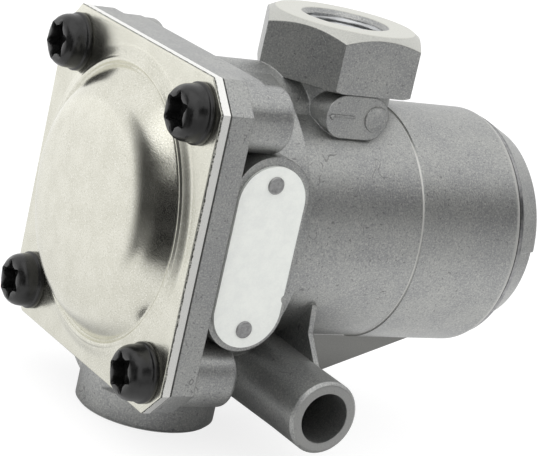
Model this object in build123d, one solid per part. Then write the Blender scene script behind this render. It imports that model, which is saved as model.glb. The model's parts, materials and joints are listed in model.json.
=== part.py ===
"""Pressure limiting valve for compressed air, in millimetres.

The main axis runs along +X, from the domed cover to the adjusting cap. The inlet port points up (+Z), the
outlet port points down, and the vent spigot points to the front (-Y). Every piece is first built in bench
coordinates: X is 0 on the cover's back face, and Y and Z are 0 on the main axis. place() then moves it to
the part's own frame, whose origin is the centre of the outlet port's mouth.
"""
import math
import os

from build123d import *

# Cover, gasket and flange
ledge_radius = 33.5
ledge_depth = 1.4
gasket_land = 7.9
plate_side = 2 * (ledge_radius + gasket_land)
plate_thickness = 2.5
corner_cut = 7.0
gasket_thickness = 0.6
flange_thickness = 6.0
flange_inset = 0.2
screw_edge_distance = 9.4
screw_spacing = plate_side - 2 * screw_edge_distance
dome_foot_margin = 0.5
dome_foot_radius = ledge_radius + dome_foot_margin
dome_height = 9.0
dome_flank_run = 7.0
dome_crown_radius = 235.0
dome_shoulder_radius = 5.0
dome_wall = 2.2
bead_offset = 0.4
bead_width = 1.3
bead_height = 0.35

# Cover screws, M8
screw_radius = 4.0
screw_clearance = 0.3
thread_clearance = 0.05
screw_length = 17.0
head_radius = 6.9
head_height = 6.5
collar_radius = 7.4
collar_height = 1.4
head_edge_radius = 2.2
lobe_count = 6
lobe_circle_radius = 3.7
lobe_radius = 1.05
recess_core_radius = 3.6
recess_depth = 3.6

# Housing, outside
boss_radius = 8.0
boss_end = 19.0
boss_edge_radius = 1.5
main_bore_radius = 25.5
body_wall = 5.4
body_radius = main_bore_radius + body_wall
waist_step = 1.6
waist_radius = body_radius + waist_step
drum_front = 17.0
drum_back = 31.2
drum_step = 6.6
drum_radius = body_radius + drum_step
shoulder_run = 4.6
body_step_at = 69.6
body_step = 0.35
body_end = 101.5
body_end_radius = 2.2
roof_back = 15.0
roof_drop = 0.5
roof_top = plate_side / 2 - roof_drop
roof_bottom = 26.0
roof_side_inset = 3.9
roof_side_radius = 8.0
roof_edge_radius = 3.0
duct_radius = 11.0
duct_rise = 1.9
duct_bore_floor = 1.9
duct_bore_radius = 4.2
duct_bore_z = main_bore_radius + duct_bore_floor + duct_bore_radius

# Ports, M22 x 1.5, with the radius of the drilled thread core
port_core_radius = 10.25
inlet_mouth_chamfer = 1.25
outlet_mouth_chamfer = 0.0
port_thread_length = 14.0
port_face_radius = 17.9
inlet_x = 53.3
inlet_top = 51.9
hex_sides = 6
hex_flats = 38.8
hex_height = 15.1
hex_bottom = inlet_top - hex_height
hex_corner_chamfer = 2.7
hex_foot_chamfer = 0.6
neck_radius = 15.5
inlet_well_radius = 7.0
outlet_x = 19.2
outlet_drop = 54.0
outlet_collar_radius = 21.0
outlet_collar_drop = 46.5
outlet_facet_x = 2.2
outlet_passage_radius = 5.6
mark_pad_x = 50.8
mark_pad_rise = 3.0
mark_pad_y = -(neck_radius + mark_pad_rise)
mark_pad_z = 31.0
mark_pad_length = 18.5
mark_pad_height = 11.0

# Vent spigot, its web and its passage
vent_x = 38.6
vent_drop = 5.0
vent_z = -(body_radius + vent_drop)
vent_end = -50.4
vent_radius = 9.3
vent_root_radius = 10.0
vent_root_y = -36.4
vent_bore_radius = 6.4
vent_edge_chamfer = 0.8
vent_bore_end = 1.0
web_half_width = 8.0
web_floor = 8.1
web_drop = web_floor - vent_z
web_slope_start = 54.6
web_slope_end = 91.6
vent_passage_radius = 3.6
vent_passage_y = -1.5
vent_hole_x = 57.0
vent_hole_radius = 3.2
gusset_x = 44.5
gusset_thickness = 1.5
gusset_top_y = -27.7
gusset_top_z = -15.1
gusset_bend_out = 0.9
gusset_bend_rise = 4.4
gusset_foot_out = 7.7
gusset_foot_sink = 3.2

# Name plate and its pad
pad_rise = 0.4
plate_pad_y = -(drum_radius + pad_rise)
name_plate_x = 18.0
name_plate_half_width = 9.1
name_plate_half_length = 22.6
name_plate_thickness = 0.8
pad_rim = 1.3
pad_lift = 0.4
pad_depth = 16.0
rivet_pitch = 36.0
rivet_radius = 1.4
rivet_head_radius = 2.15
rivet_head_height = 0.6
rivet_length = 5.0
notch_radius = 1.1
notch_z = -10.0

# Mounting bosses on the back, M8
mount_spacing = 48.0
mount_first_x = 26.0
mount_boss_radius = 10.0
mount_boss_rise = 5.5
mount_face_y = drum_radius + mount_boss_rise
mount_hole_radius = 3.4
mount_hole_depth = 14.0

# Housing, inside, from the cover to the end
ledge_width = 6.0
cavity_radius = ledge_radius - ledge_width
cavity_floor = 9.0
pocket_half_width = 6.0
seat_bore_radius = 12.0
partition_thickness = 4.5
guide_bore_step = 1.5
guide_bore_radius = main_bore_radius - guide_bore_step
guide_ledge_width = 1.5
chamber_radius = guide_bore_radius - guide_ledge_width
guide_face = 29.0
guide_thickness = 7.0
snap_ring_thickness = 1.2
snap_ring_depth = 1.0
snap_ring_gap_angle = 24.0
snap_ring_width = 2.2
snap_ring_lug_radius = 2.4
snap_ring_lug_inset = 1.2
snap_ring_lug_angle = 17.4
snap_ring_hole_radius = 1.0
cap_bore_step = 0.5
cap_bore_radius = main_bore_radius + cap_bore_step
cap_thread_length = 15.0

# Inlet valve
seat_ring_bore = 8.6
seat_lip_radius = 9.6
seat_lip_width = 1.0
seat_lip_height = 0.7
seat_ring_proud = 0.8
valve_travel = 2.0
seal_face_gap = 0.02
disc_radius = 11.6
disc_thickness = 2.0
disc_recess = 1.5
carrier_radius = 12.6
carrier_plate = 2.4
carrier_skirt_radius = 8.95
carrier_skirt_length = 5.4
carrier_hollow_radius = 6.8
carrier_hollow_floor = 0.4
cage_bore_clearance = 0.05
cage_wall = 2.4
cage_floor_thickness = 1.6
cage_flange_width = 4.65
cage_flange_clearance = 0.25
cage_spoke_width = 6.0
cage_spoke_thickness = 2.4
cage_spokes = 4
cage_first_spoke_angle = 45.0
cage_vent_radius = 1.6
cage_gap = 1.0
valve_spring_radius = 5.4
valve_spring_wire = 1.1
valve_spring_turns = 3.5

# Piston, its guide and its rod
rod_radius = 5.5
rod_bore_radius = 3.2
rod_clearance = 0.05
guide_clearance = 0.05
nozzle_radius = 2.0
nozzle_bore_radius = 0.8
nozzle_edge_distance = 7.5
nozzle_offset = guide_bore_radius - nozzle_edge_distance
guide_hub_gap = 2.5
guide_hub_radius = nozzle_offset - nozzle_radius - guide_hub_gap
guide_hub_length = 5.0
guide_hub_chamfer = 1.5
piston_rest_gap = 2.8
piston_clearance = 0.08
piston_length = 10.0
piston_dish_radius = 14.0
piston_dish_depth = 4.0
piston_dish_width = 4.0
piston_dish_slope = 1.2
piston_edge_chamfer = 0.8
piston_groove_margin = 1.6
piston_groove_spacing = 1.4
rod_end_chamfer = 1.2
rod_mouth_chamfer = 0.4
lip_seal_width = 3.2
lip_seal_depth = 3.0
lip_seal_notch = 1.2
lip_seal_lip = 0.8
lip_seal_taper = 0.5
guide_ring_width = 2.4
guide_ring_depth = 1.6
groove_clearance = 0.05
o_ring_section = 2.4
rod_seal_section = 2.2
carrier_seal_section = 1.4

# Main spring and adjusting cap
main_spring_wire = 5.4
main_spring_wall_gap = 4.4
main_spring_radius = main_bore_radius - main_spring_wall_gap - main_spring_wire / 2
main_spring_turns = 5.25
main_spring_length = 37.0
spring_seat_gap = 2.5
spring_seat_radius = main_bore_radius - spring_seat_gap
spring_seat_thickness = 3.6
spring_spigot_gap = 0.7
spring_spigot_radius = main_spring_radius - main_spring_wire / 2 - spring_spigot_gap
spring_spigot_height = 3.0
spring_spigot_chamfer = 0.8
flat_gap = 0.05
cap_stem_clearance = 0.08
cap_stem_wall = 7.0
cap_stem_recess_radius = cap_bore_radius - cap_stem_wall
cap_stem_recess_depth = 6.5
cap_stem_core_radius = 6.0
cap_stem_chamfer = 0.8
cap_seal_margin = 1.6
cap_gap = 1.0
cap_foot_inset = 0.7
cap_foot_radius = body_radius - cap_foot_inset
cap_flange_taper = 3.6
cap_end_radius = cap_foot_radius - cap_flange_taper
cap_flange_height = 7.6
cap_edge_chamfer = 0.9
cap_recess_depth = 1.4
cap_recess_start = 177.0
cap_recess_span = 62.0
cap_recesses = 2
cap_dish_radius = 17.0
cap_dish_depth = 2.6

# How far a cutting tool runs past the face it opens
past = 1.0

# Places that follow from the sizes
flange_half = plate_side / 2 - flange_inset
flange_front = gasket_thickness
flange_back = flange_front + flange_thickness
screw_half = screw_spacing / 2
seat_lip_x = cavity_floor - seat_ring_proud - seat_lip_height
disc_face_x = seat_lip_x - valve_travel - seal_face_gap
chamber_front = cavity_floor + partition_thickness
guide_back = guide_face + guide_thickness
snap_ring_front = guide_back + flat_gap
snap_ring_back = snap_ring_front + snap_ring_thickness
piston_front = snap_ring_back + piston_rest_gap
piston_back = piston_front + piston_length
spring_seat_front = piston_back + main_spring_length
spring_seat_back = spring_seat_front + spring_seat_thickness
cap_front = spring_seat_back + flat_gap
cap_flange_front = body_end + cap_gap
cap_end = cap_flange_front + cap_flange_height
piston_radius = main_bore_radius - piston_clearance


def place(shape):
    """Moves a piece from bench coordinates to the part's frame."""
    return Pos(-outlet_x, 0, outlet_drop) * shape


def save(name, shape):
    """Writes one node's solids to its own file."""
    export_step(place(shape), f"parts/{name}.step")


def rod_x(start, end, radius, y=0.0, z=0.0):
    """A cylinder along X from start to end."""
    return Pos((start + end) / 2, y, z) * Rot(0, 90, 0) * Cylinder(radius, end - start)


def rod_y(start, end, radius, x=0.0, z=0.0):
    """A cylinder along Y from start to end."""
    return Pos(x, (start + end) / 2, z) * Rot(90, 0, 0) * Cylinder(radius, end - start)


def rod_z(start, end, radius, x=0.0, y=0.0):
    """A cylinder along Z from start to end."""
    return Pos(x, y, (start + end) / 2) * Cylinder(radius, end - start)


def block(x_range, y_range, z_range):
    """A box between three pairs of limits."""
    low = [min(pair) for pair in (x_range, y_range, z_range)]
    high = [max(pair) for pair in (x_range, y_range, z_range)]
    middle = [(a + b) / 2 for a, b in zip(low, high)]
    return Pos(*middle) * Box(*[b - a for a, b in zip(low, high)])


def turned(points):
    """A solid turned about the main axis from a closed outline of (x, radius) points."""
    outline = make_face(Polyline(*[(x, r) for x, r in points], close=True))
    return revolve(outline, Axis.X, 360)


def ring_x(start, end, inner, outer):
    """A plain ring about the main axis."""
    return turned([(start, inner), (end, inner), (end, outer), (start, outer)])


def o_ring(middle_x, middle_radius, section):
    """A ring of round section about the main axis."""
    circle = Pos(middle_x, middle_radius) * Circle(section / 2)
    return revolve(circle, Axis.X, 360)


def at_screws(shape):
    """Copies of a shape that lies on the main axis, one at each cover screw."""
    corners = [(y, z) for y in (-screw_half, screw_half) for z in (-screw_half, screw_half)]
    return [Pos(0, y, z) * shape for y, z in corners]


def square_plate(half, cut, start, end):
    """A square plate across the main axis with its four corners cut at 45 degrees."""
    inner = half - cut
    points = [(-half, -inner), (-inner, -half), (inner, -half), (half, -inner)]
    points += [(-y, -z) for y, z in points]
    outline = make_face(Plane.YZ * Polyline(*points, close=True))
    return Pos(start, 0, 0) * extrude(outline, end - start, dir=(1, 0, 0))


def obround_y(half_width, half_length, start, end, x, z, along_x=False):
    """A flat slab with round ends, facing -Y, its long side along Z or along X."""
    slot = SlotOverall(2 * half_length, 2 * half_width, rotation=0 if along_x else 90)
    slab = extrude(Plane.XZ * slot, end - start, dir=(0, 1, 0))
    return Pos(x, start, z) * slab


def coil(radius, wire, turns, start, end):
    """A round-wire spring about the main axis that fills the space from start to end."""
    height = end - start - wire - 2 * flat_gap
    path = Helix(pitch=height / turns, height=height, radius=radius)
    section = Plane(origin=path @ 0, z_dir=path % 0) * Circle(wire / 2)
    spring = sweep(section, path=path, is_frenet=True)
    return Pos(start + wire / 2 + flat_gap, 0, 0) * Rot(0, 90, 0) * spring


def dome_body(foot, height, face, back):
    """The solid under a pressed dome: a straight flank, a rounded shoulder and a slightly curved crown."""
    top = foot - height * dome_flank_run / dome_height
    flank = turned([(face, 0), (face, foot), (face - height, top), (face - height, 0)])
    crown = Pos(face - height + dome_crown_radius, 0, 0) * Sphere(dome_crown_radius)
    dome = flank & crown
    shoulder = dome.edges().filter_by(GeomType.CIRCLE).sort_by(Axis.X)[0]
    return fillet(shoulder, dome_shoulder_radius) + rod_x(face, back, foot)


def cover():
    """The pressed steel cover: a square plate with a dome and a coined bead round its foot."""
    plate = square_plate(plate_side / 2, corner_cut, -plate_thickness, 0)
    dome = dome_body(dome_foot_radius, dome_height, -plate_thickness, -plate_thickness / 2)
    bead_inner = dome_foot_radius + bead_offset
    bead = turned([
        (-plate_thickness / 2, bead_inner),
        (-plate_thickness - bead_height, bead_inner + bead_height),
        (-plate_thickness - bead_height, bead_inner + bead_width - bead_height),
        (-plate_thickness / 2, bead_inner + bead_width),
    ])
    slant = math.hypot(dome_height, dome_flank_run)
    inner_foot = dome_foot_radius - dome_wall * slant / dome_height
    inner_foot += plate_thickness * dome_flank_run / dome_height
    hollow = dome_body(inner_foot, dome_height - dome_wall + plate_thickness, 0, past)
    body = plate + dome + bead - hollow
    for hole in at_screws(rod_x(-plate_thickness - past, past, screw_radius + screw_clearance)):
        body -= hole
    return body


def cover_gasket():
    """The flat gasket between the cover and the flange, open over the cavity and the inlet pocket."""
    sheet = square_plate(flange_half, corner_cut, 0, gasket_thickness)
    sheet -= rod_x(-past, gasket_thickness + past, ledge_radius) + pocket(-past, gasket_thickness + past)
    for hole in at_screws(rod_x(-past, gasket_thickness + past, screw_radius + screw_clearance)):
        sheet -= hole
    return sheet


def pocket(start, end):
    """The space above the front cavity where the inlet duct opens."""
    top = duct_bore_z + duct_bore_radius
    return block((start, end), (-pocket_half_width, pocket_half_width), (cavity_radius / 2, top))


def cover_screws():
    """Four screws with a collar, a rounded head and a six-lobe recess."""
    face = -plate_thickness
    top = face - head_height
    head = rod_x(top, face, head_radius)
    head = fillet(head.edges().group_by(Axis.X)[0], head_edge_radius)
    head += rod_x(face - collar_height, face, collar_radius)
    recess = rod_x(top - past, top + recess_depth, recess_core_radius)
    for index in range(lobe_count):
        angle = math.radians(360 * index / lobe_count)
        y, z = lobe_circle_radius * math.cos(angle), lobe_circle_radius * math.sin(angle)
        recess += rod_x(top - past, top + recess_depth, lobe_radius, y, z)
    shank = rod_x(face, face + screw_length, screw_radius - thread_clearance)
    return Compound(children=at_screws(head - recess + shank))


def barrel_outside():
    """The round outside of the housing, from the flange to the end rim."""
    large = body_radius + body_step
    barrel = turned([
        (flange_front, 0),
        (flange_front, waist_radius),
        (drum_front, waist_radius),
        (drum_front, drum_radius),
        (drum_back, drum_radius),
        (drum_back + shoulder_run, body_radius),
        (body_step_at, body_radius),
        (body_step_at + body_step, large),
        (body_end, large),
        (body_end, 0),
    ])
    rim = barrel.edges().filter_by(GeomType.CIRCLE).sort_by(Axis.X)[-1]
    return fillet(rim, body_end_radius)


def corner_boss():
    """One screw boss behind the flange, with a rounded end."""
    boss = rod_x(flange_front, boss_end, boss_radius)
    return fillet(boss.edges().group_by(Axis.X)[-1], boss_edge_radius)


def roof():
    """The flat casting between the two upper bosses, and the duct that joins the inlet port's neck."""
    half = flange_half - roof_side_inset
    bridge = block((flange_front, roof_back), (-half, half), (roof_bottom, roof_top))
    bridge = fillet(bridge.edges().filter_by(Axis.X).group_by(Axis.Z)[-1], roof_side_radius)
    back_edges = bridge.faces().sort_by(Axis.X)[-1].edges().sort_by(Axis.Z)[1:]
    bridge = fillet(back_edges, roof_edge_radius)
    return bridge + rod_x(flange_front, inlet_x, duct_radius, 0, hex_bottom + duct_rise - duct_radius)


def inlet_boss():
    """The inlet port's hexagon, with a machined face and a round neck."""
    prism = extrude(RegularPolygon(hex_flats / 2, hex_sides, major_radius=False), hex_height)
    prism = Pos(0, 0, hex_bottom) * prism
    corner = hex_flats / 2 / math.cos(math.pi / hex_sides)
    slope = (corner - port_face_radius) / hex_corner_chamfer
    foot = corner - slope * hex_foot_chamfer
    cone = revolve(
        make_face(Plane.XZ * Polyline(
            (0, inlet_top),
            (port_face_radius, inlet_top),
            (corner, inlet_top - hex_corner_chamfer),
            (corner, hex_bottom + hex_foot_chamfer),
            (foot, hex_bottom),
            (0, hex_bottom),
            close=True,
        )),
        Axis.Z,
        360,
    )
    neck = rod_z(0, hex_bottom + past, neck_radius)
    return Pos(inlet_x, 0, 0) * ((prism & cone) + neck)


def mark_pad():
    """The flat oval pad on the neck's front."""
    return obround_y(mark_pad_height / 2, mark_pad_length / 2, mark_pad_y, 0, mark_pad_x, mark_pad_z, True)


def outlet_boss():
    """The outlet port's round boss below the flange, with a wider collar that has a flat facet."""
    boss = rod_z(-outlet_drop, 0, port_face_radius)
    boss = chamfer(boss.edges().group_by(Axis.Z)[0], vent_edge_chamfer)
    step = outlet_collar_radius - port_face_radius
    collar = rod_z(-outlet_collar_drop, 0, outlet_collar_radius)
    collar = chamfer(collar.edges().group_by(Axis.Z)[0], step)
    reach = outlet_collar_radius + past
    cut = block((outlet_facet_x, outlet_x + reach), (-reach, reach), (-outlet_drop - past, past))
    return Pos(outlet_x, 0, 0) * boss + ((Pos(outlet_x, 0, 0) * collar) & cut)


def vent_spigot():
    """The vent tube on its tapered root, the sloping web below it and the thin gusset above it."""
    outline = Polyline(
        (0, vent_end),
        (vent_radius - vent_edge_chamfer, vent_end),
        (vent_radius, vent_end + vent_edge_chamfer),
        (vent_radius, vent_root_y),
        (vent_root_radius, 0),
        (0, 0),
        close=True,
    )
    tube = Pos(vent_x, 0, vent_z) * revolve(make_face(outline), Axis.Y, 360)
    slope = Polyline(
        (outlet_x, 0),
        (outlet_x, -web_drop),
        (web_slope_start, -web_drop),
        (web_slope_end, -body_radius + past),
        (web_slope_end, 0),
        close=True,
    )
    web = extrude(make_face(Plane.XZ * slope), web_half_width, both=True)
    return tube + web + gusset()


def gusset():
    """A thin rib from the body's front down to the top of the vent tube."""
    bend_z = vent_z + vent_radius + gusset_bend_rise
    foot_z = vent_z + vent_radius - gusset_foot_sink
    outline = [(0, gusset_top_z), (gusset_top_y, gusset_top_z), (gusset_top_y - gusset_bend_out, bend_z)]
    outline += [(gusset_top_y - gusset_foot_out, foot_z), (0, foot_z)]
    rib = Polyline(*outline, close=True)
    half = gusset_thickness / 2
    return Pos(gusset_x, 0, 0) * extrude(make_face(Plane.YZ * rib), half, both=True)


def name_plate_pad():
    """The raised oval pad that carries the name plate."""
    half_width = name_plate_half_width + pad_rim
    half_length = name_plate_half_length + pad_rim + pad_lift
    return obround_y(half_width, half_length, plate_pad_y, plate_pad_y + pad_depth, name_plate_x, pad_lift)


def mount_bosses():
    """Two round bosses with a flat face on the back."""
    bosses = [rod_y(0, mount_face_y, mount_boss_radius, x, 0) for x in mount_places()]
    return bosses[0] + bosses[1]


def mount_places():
    """Where the mounting holes are along the main axis."""
    return [mount_first_x, mount_first_x + mount_spacing]


def housing_outside():
    """The whole outside of the die-cast housing."""
    body = square_plate(flange_half, corner_cut, flange_front, flange_back)
    body += barrel_outside()
    for boss in at_screws(corner_boss()):
        body += boss
    for form in (roof, inlet_boss, mark_pad, outlet_boss, vent_spigot, name_plate_pad, mount_bosses):
        body += form()
    return body


def main_bore():
    """Everything that is bored from the two ends."""
    ring_radius = guide_bore_radius + snap_ring_depth
    cap_start = body_end - cap_thread_length
    front = turned([
        (0, 0),
        (0, ledge_radius),
        (flange_front + ledge_depth, ledge_radius),
        (flange_front + ledge_depth, cavity_radius),
        (cavity_floor, cavity_radius),
        (cavity_floor, seat_bore_radius),
        (chamber_front, seat_bore_radius),
        (chamber_front, chamber_radius),
        (guide_face, chamber_radius),
        (guide_face, guide_bore_radius),
        (snap_ring_front, guide_bore_radius),
        (snap_ring_front, ring_radius),
        (snap_ring_back + flat_gap, ring_radius),
        (snap_ring_back + flat_gap, guide_bore_radius),
        (snap_ring_back + past, guide_bore_radius),
        (snap_ring_back + past, main_bore_radius),
        (cap_start, main_bore_radius),
        (cap_start, cap_bore_radius),
        (body_end + past, cap_bore_radius),
        (body_end + past, 0),
    ])
    return front


def port_bore(depth_start, depth_end, mouth_chamfer):
    """A threaded port's core along Z, with a mouth at depth_end that may be chamfered."""
    way = 1 if depth_end > depth_start else -1
    mouth = Plane.XZ * Polyline(
        (0, depth_start),
        (port_core_radius, depth_start),
        (port_core_radius, depth_end - way * mouth_chamfer),
        (port_core_radius + mouth_chamfer + past, depth_end + way * past),
        (0, depth_end + way * past),
        close=True,
    )
    return revolve(make_face(mouth), Axis.Z, 360)


def passages():
    """The ports, the duct from the inlet to the front cavity, the outlet passage and the vent passage."""
    inlet_end = inlet_top - port_thread_length
    outlet_end = port_thread_length - outlet_drop
    hole_end = vent_hole_x + vent_hole_radius
    cuts = Pos(inlet_x, 0, 0) * port_bore(inlet_end, inlet_top, inlet_mouth_chamfer)
    cuts += rod_z(duct_bore_z - duct_bore_radius, inlet_end + past, inlet_well_radius, inlet_x)
    cuts += rod_x(cavity_floor - past, inlet_x, duct_bore_radius, 0, duct_bore_z)
    cuts += pocket(flange_front - past, cavity_floor)
    cuts += Pos(outlet_x, 0, 0) * port_bore(outlet_end, -outlet_drop, outlet_mouth_chamfer)
    cuts += rod_z(outlet_end - past, past - chamber_radius, outlet_passage_radius, outlet_x)
    cuts += rod_y(vent_end - past, vent_bore_end, vent_bore_radius, vent_x, vent_z)
    cuts += rod_x(vent_x, hole_end, vent_passage_radius, vent_passage_y, vent_z)
    cuts += rod_z(vent_z, past - main_bore_radius, vent_hole_radius, vent_hole_x, vent_passage_y)
    return cuts


def housing():
    """The die-cast housing with its bores, ports and tapped holes."""
    body = housing_outside() - main_bore() - passages()
    for hole in at_screws(rod_x(0, screw_length - plate_thickness + past, screw_radius)):
        body -= hole
    for x in mount_places():
        body -= rod_y(mount_face_y - mount_hole_depth, mount_face_y + past, mount_hole_radius, x, 0)
    for z in (-rivet_pitch / 2, rivet_pitch / 2):
        body -= rod_y(plate_pad_y - past, plate_pad_y + rivet_length, rivet_radius, name_plate_x, z)
    return body


def name_plate():
    """The bare oval plate, with a small notch in its right edge and two rivet holes."""
    front = plate_pad_y - name_plate_thickness
    plate = obround_y(name_plate_half_width, name_plate_half_length, front, plate_pad_y, name_plate_x, 0)
    edge = name_plate_x + name_plate_half_width + notch_radius / 2
    plate -= rod_y(front - past, plate_pad_y + past, notch_radius, edge, notch_z)
    for z in (-rivet_pitch / 2, rivet_pitch / 2):
        plate -= rod_y(front - past, plate_pad_y + past, rivet_radius, name_plate_x, z)
    return plate


def name_plate_rivets():
    """Two drive rivets with flat round heads."""
    front = plate_pad_y - name_plate_thickness
    rivets = []
    for z in (-rivet_pitch / 2, rivet_pitch / 2):
        head = rod_y(front - rivet_head_height, front, rivet_head_radius, name_plate_x, z)
        head = chamfer(head.edges().group_by(Axis.Y)[0], rivet_head_height / 2)
        rivets.append(head + rod_y(front, plate_pad_y + rivet_length, rivet_radius, name_plate_x, z))
    return Compound(children=rivets)


def seat_ring():
    """The valve seat, pressed into the partition, with a raised lip on its front."""
    front = cavity_floor - seat_ring_proud
    lip_inner = seat_lip_radius - seat_lip_width / 2
    lip_outer = seat_lip_radius + seat_lip_width / 2
    return turned([
        (front, seat_ring_bore),
        (chamber_front, seat_ring_bore),
        (chamber_front, seat_bore_radius),
        (front, seat_bore_radius),
        (front, lip_outer + seat_lip_height / 2),
        (seat_lip_x, lip_outer),
        (seat_lip_x, lip_inner),
        (front, lip_inner - seat_lip_height / 2),
    ])


def carrier_front():
    """Where the valve carrier's plate starts."""
    return disc_face_x - disc_thickness + disc_recess - carrier_plate


def valve_carrier():
    """The cup-shaped carrier that holds the rubber disc and slides in the cage."""
    start = carrier_front()
    back = start + carrier_plate
    skirt_start = start - carrier_skirt_length
    body = turned([
        (skirt_start, carrier_hollow_radius),
        (skirt_start, carrier_skirt_radius),
        (start, carrier_skirt_radius),
        (start, carrier_radius),
        (back, carrier_radius),
        (back, disc_radius),
        (back - disc_recess, disc_radius),
        (back - disc_recess, 0),
        (start - carrier_hollow_floor, 0),
        (start - carrier_hollow_floor, carrier_hollow_radius),
    ])
    groove_middle = skirt_start + carrier_skirt_length / 2
    half = carrier_seal_section / 2 + groove_clearance
    floor = carrier_skirt_radius - carrier_seal_section
    return body - ring_x(groove_middle - half, groove_middle + half, floor, carrier_skirt_radius + past)


def carrier_seal():
    """The O-ring in the carrier's skirt."""
    middle = carrier_front() - carrier_skirt_length / 2
    radius = carrier_skirt_radius - carrier_seal_section / 2 + groove_clearance / 2
    return o_ring(middle, radius, carrier_seal_section - groove_clearance)


def valve_disc():
    """The rubber disc that closes on the seat's lip and on the rod's end."""
    back = carrier_front() + carrier_plate - disc_recess
    return rod_x(back, disc_face_x, disc_radius - groove_clearance)


def cage_bore():
    """The radius of the cage's bore."""
    return carrier_skirt_radius + cage_bore_clearance


def cage_floor():
    """Where the cage's inside floor is."""
    return carrier_front() - cage_gap - carrier_skirt_length


def valve_cage():
    """The guide cage clamped under the cover: a flange ring, spokes and a cup that guides the carrier."""
    ledge = flange_front + ledge_depth
    outer = ledge_radius - cage_flange_clearance
    inner = outer - cage_flange_width
    cup_end = carrier_front() - cage_gap
    ring = ring_x(0, ledge, inner, outer)
    cup_outer = cage_bore() + cage_wall
    body = ring + rod_x(cage_floor() - cage_floor_thickness, cup_end, cup_outer)
    half = cage_spoke_width / 2
    arm = block((cup_end - cage_spoke_thickness, cup_end), (-half, half), (0, inner + past))
    for index in range(cage_spokes):
        body += Rot(cage_first_spoke_angle + 360 * index / cage_spokes, 0, 0) * arm
    body -= rod_x(cage_floor(), cup_end + past, cage_bore())
    return body - rod_x(cage_floor() - cage_floor_thickness - past, cage_floor() + past, cage_vent_radius)


def valve_spring():
    """The light spring that closes the valve, between the cage's floor and the carrier."""
    end = carrier_front() - carrier_hollow_floor
    return coil(valve_spring_radius, valve_spring_wire, valve_spring_turns, cage_floor(), end)


def guide_insert():
    """The insert that guides the rod and closes the outlet chamber, with its grooves and a nozzle hole."""
    outer = guide_bore_radius - guide_clearance
    bore = rod_radius + rod_clearance
    body = turned([
        (guide_face - guide_hub_length, bore),
        (guide_back, bore),
        (guide_back, outer),
        (guide_face, outer),
        (guide_face, guide_hub_radius),
        (guide_face - guide_hub_length, guide_hub_radius - guide_hub_chamfer),
    ])
    middle = (guide_face + guide_back) / 2
    half = o_ring_section / 2 + groove_clearance
    body -= ring_x(middle - half, middle + half, outer - o_ring_section, outer + past)
    half = rod_seal_section / 2 + groove_clearance
    body -= ring_x(middle - half, middle + half, bore - past, bore + rod_seal_section)
    return body - rod_x(guide_face - past, guide_back + past, nozzle_radius, 0, -nozzle_offset)


def guide_insert_seal():
    """The O-ring between the insert and the housing."""
    middle = (guide_face + guide_back) / 2
    section = o_ring_section - groove_clearance
    return o_ring(middle, guide_bore_radius - guide_clearance - section / 2, section)


def rod_seal():
    """The O-ring in the insert that seals on the rod."""
    middle = (guide_face + guide_back) / 2
    bore = rod_radius + rod_clearance
    return o_ring(middle, bore + rod_seal_section / 2, rod_seal_section - groove_clearance)


def feed_nozzle():
    """The brass nozzle that lets outlet pressure reach the piston slowly."""
    nozzle = rod_x(guide_face, guide_back, nozzle_radius, 0, -nozzle_offset)
    return nozzle - rod_x(guide_face - past, guide_back + past, nozzle_bore_radius, 0, -nozzle_offset)


def snap_ring():
    """The open retaining ring that holds the insert, with two lugs and their plier holes."""
    outer = guide_bore_radius + snap_ring_depth - flat_gap
    inner = guide_bore_radius - snap_ring_width
    ring = ring_x(snap_ring_front, snap_ring_back, inner, outer)
    lug_radius = inner - snap_ring_lug_inset
    lug = math.radians(snap_ring_lug_angle)
    places = [(sign * lug_radius * math.sin(lug), lug_radius * math.cos(lug)) for sign in (-1, 1)]
    for y, z in places:
        ring += rod_x(snap_ring_front, snap_ring_back, snap_ring_lug_radius, y, z)
    half_gap = outer * math.sin(math.radians(snap_ring_gap_angle / 2)) / 2
    span = (snap_ring_front - past, snap_ring_back + past)
    ring -= block(span, (-half_gap, half_gap), (0, outer + past))
    for y, z in places:
        ring -= rod_x(*span, snap_ring_hole_radius, y, z)
    return ring


def piston():
    """The piston, with grooves for its lip seal and guide ring and a dish for the spring."""
    dish_inner = piston_dish_radius - piston_dish_width
    body = turned([
        (piston_front, rod_radius),
        (piston_back, rod_radius),
        (piston_back, dish_inner),
        (piston_back - piston_dish_depth, dish_inner + piston_dish_slope),
        (piston_back - piston_dish_depth, piston_dish_radius - piston_dish_slope),
        (piston_back, piston_dish_radius),
        (piston_back, piston_radius),
        (piston_front + piston_edge_chamfer, piston_radius),
        (piston_front, piston_radius - piston_edge_chamfer),
    ])
    seal_from, guide_from = piston_groove_places()
    outer = piston_radius + past
    body -= ring_x(seal_from, seal_from + lip_seal_width, piston_radius - lip_seal_depth, outer)
    return body - ring_x(guide_from, guide_from + guide_ring_width, piston_radius - guide_ring_depth, outer)


def piston_groove_places():
    """Where the lip seal's groove and the guide ring's groove start."""
    seal_from = piston_front + piston_groove_margin
    return seal_from, seal_from + lip_seal_width + piston_groove_spacing


def piston_seal():
    """The rubber lip seal, open towards the pressure side."""
    start = piston_groove_places()[0] + groove_clearance
    end = start + lip_seal_width - 2 * groove_clearance
    inner = piston_radius - lip_seal_depth + groove_clearance
    outer = main_bore_radius - groove_clearance
    middle = (inner + outer) / 2
    return turned([
        (start, inner),
        (end, inner),
        (end, outer - lip_seal_taper),
        (start, outer),
        (start, outer - lip_seal_lip),
        (start + lip_seal_notch, middle),
        (start, inner + lip_seal_lip),
    ])


def piston_guide_ring():
    """The plastic guide ring of the piston."""
    start = piston_groove_places()[1] + groove_clearance
    inner = piston_radius - guide_ring_depth + groove_clearance
    end = start + guide_ring_width - 2 * groove_clearance
    return ring_x(start, end, inner, main_bore_radius - groove_clearance)


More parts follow.
